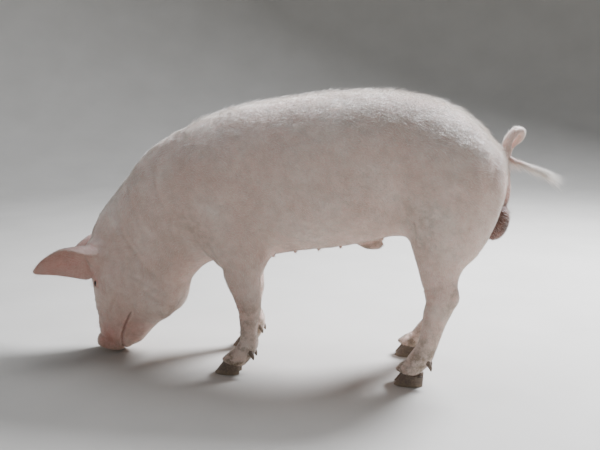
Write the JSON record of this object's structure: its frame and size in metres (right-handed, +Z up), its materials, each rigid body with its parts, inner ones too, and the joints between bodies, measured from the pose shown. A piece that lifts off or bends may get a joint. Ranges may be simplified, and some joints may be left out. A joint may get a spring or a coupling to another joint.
{
  "type": "boar pig model",
  "caption": "Life-size still model of a white boar pig standing with its head lowered, its snout at the floor and its tail carried in a loop.",
  "frame": {"origin": "centre of the bounding box's base, on the floor that the claws stand on", "axes": "-X the way the boar faces, +X towards its tail, -Y its left side, +Z up"},
  "size_m": [1.6666, 0.3936, 0.8802],
  "materials": {
    "skin": "pale pink skin under white bristles",
    "snout_skin": "bare, moist pink skin",
    "scrotum_skin": "wrinkled darker pink skin",
    "claw_horn": "keratin, dull and scuffed",
    "eye": "wet dark brown",
    "bristles": "fine straight white bristle, slightly glossy"
  },
  "bodies": {
    "root": {"claw_fore_left_inner": "claw_horn", "claw_fore_left_outer": "claw_horn", "claw_fore_right_inner": "claw_horn", "claw_fore_right_outer": "claw_horn", "claw_hind_left_inner": "claw_horn", "claw_hind_left_outer": "claw_horn", "claw_hind_right_inner": "claw_horn", "claw_hind_right_outer": "claw_horn", "dewclaw_fore_left_inner": "claw_horn", "dewclaw_fore_left_outer": "claw_horn", "dewclaw_fore_right_inner": "claw_horn", "dewclaw_fore_right_outer": "claw_horn", "dewclaw_hind_left_inner": "claw_horn", "dewclaw_hind_left_outer": "claw_horn", "dewclaw_hind_right_inner": "claw_horn", "dewclaw_hind_right_outer": "claw_horn", "ear_left": "skin", "ear_right": "skin", "eye_left": "eye", "eye_right": "eye", "fore_cannon_left": "skin", "fore_cannon_right": "skin", "forearm_left": "skin", "forearm_right": "skin", "gaskin_left": "skin", "gaskin_right": "skin", "head": "skin", "hind_cannon_left": "skin", "hind_cannon_right": "skin", "neck": "skin", "rump": "skin", "scrotum": "scrotum_skin", "snout": "snout_skin", "tail_base": "skin", "tail_middle": "skin", "tail_tip": "bristles", "torso": "skin"}
  },
  "joints": []
}
